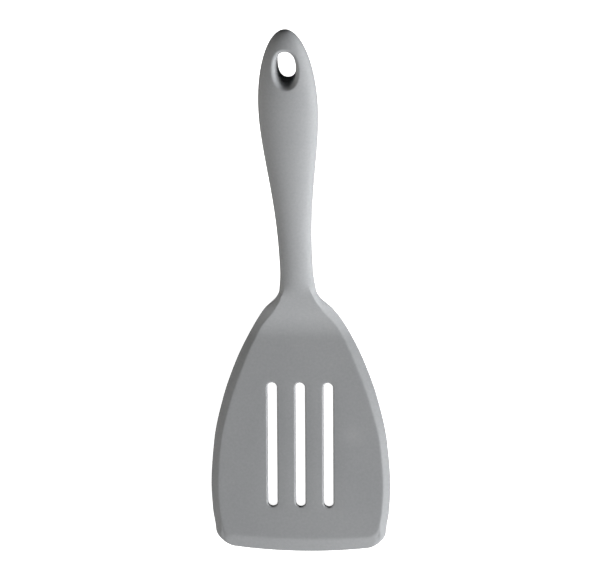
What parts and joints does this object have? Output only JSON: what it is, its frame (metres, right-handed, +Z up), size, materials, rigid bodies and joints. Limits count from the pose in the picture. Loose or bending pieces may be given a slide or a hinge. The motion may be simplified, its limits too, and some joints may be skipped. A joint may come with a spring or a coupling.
{
  "type": "slotted turner",
  "caption": "Flat slotted turner for grill and pan: bevelled blade, upswept oval handle with a hanging hole, seamless matt grey silicone over a stiff insert.",
  "frame": {"origin": "on the ground below the middle of the tool, which lies right side up with its blade flat", "axes": "+X across the blade, +Y from the blade's front edge to the handle's tip, +Z up"},
  "size_m": [0.101, 0.3, 0.0756],
  "materials": {
    "silicone": "matt moulded silicone",
    "spring_steel": "cold rolled",
    "filled_nylon": "moulded",
    "rivet_steel": "bright"
  },
  "bodies": {
    "root": {"top_skin": "silicone", "bottom_skin": "silicone", "blade_plate": "spring_steel", "handle_core": "filled_nylon", "rivet_front": "rivet_steel", "rivet_middle": "rivet_steel", "rivet_rear": "rivet_steel"}
  },
  "joints": []
}
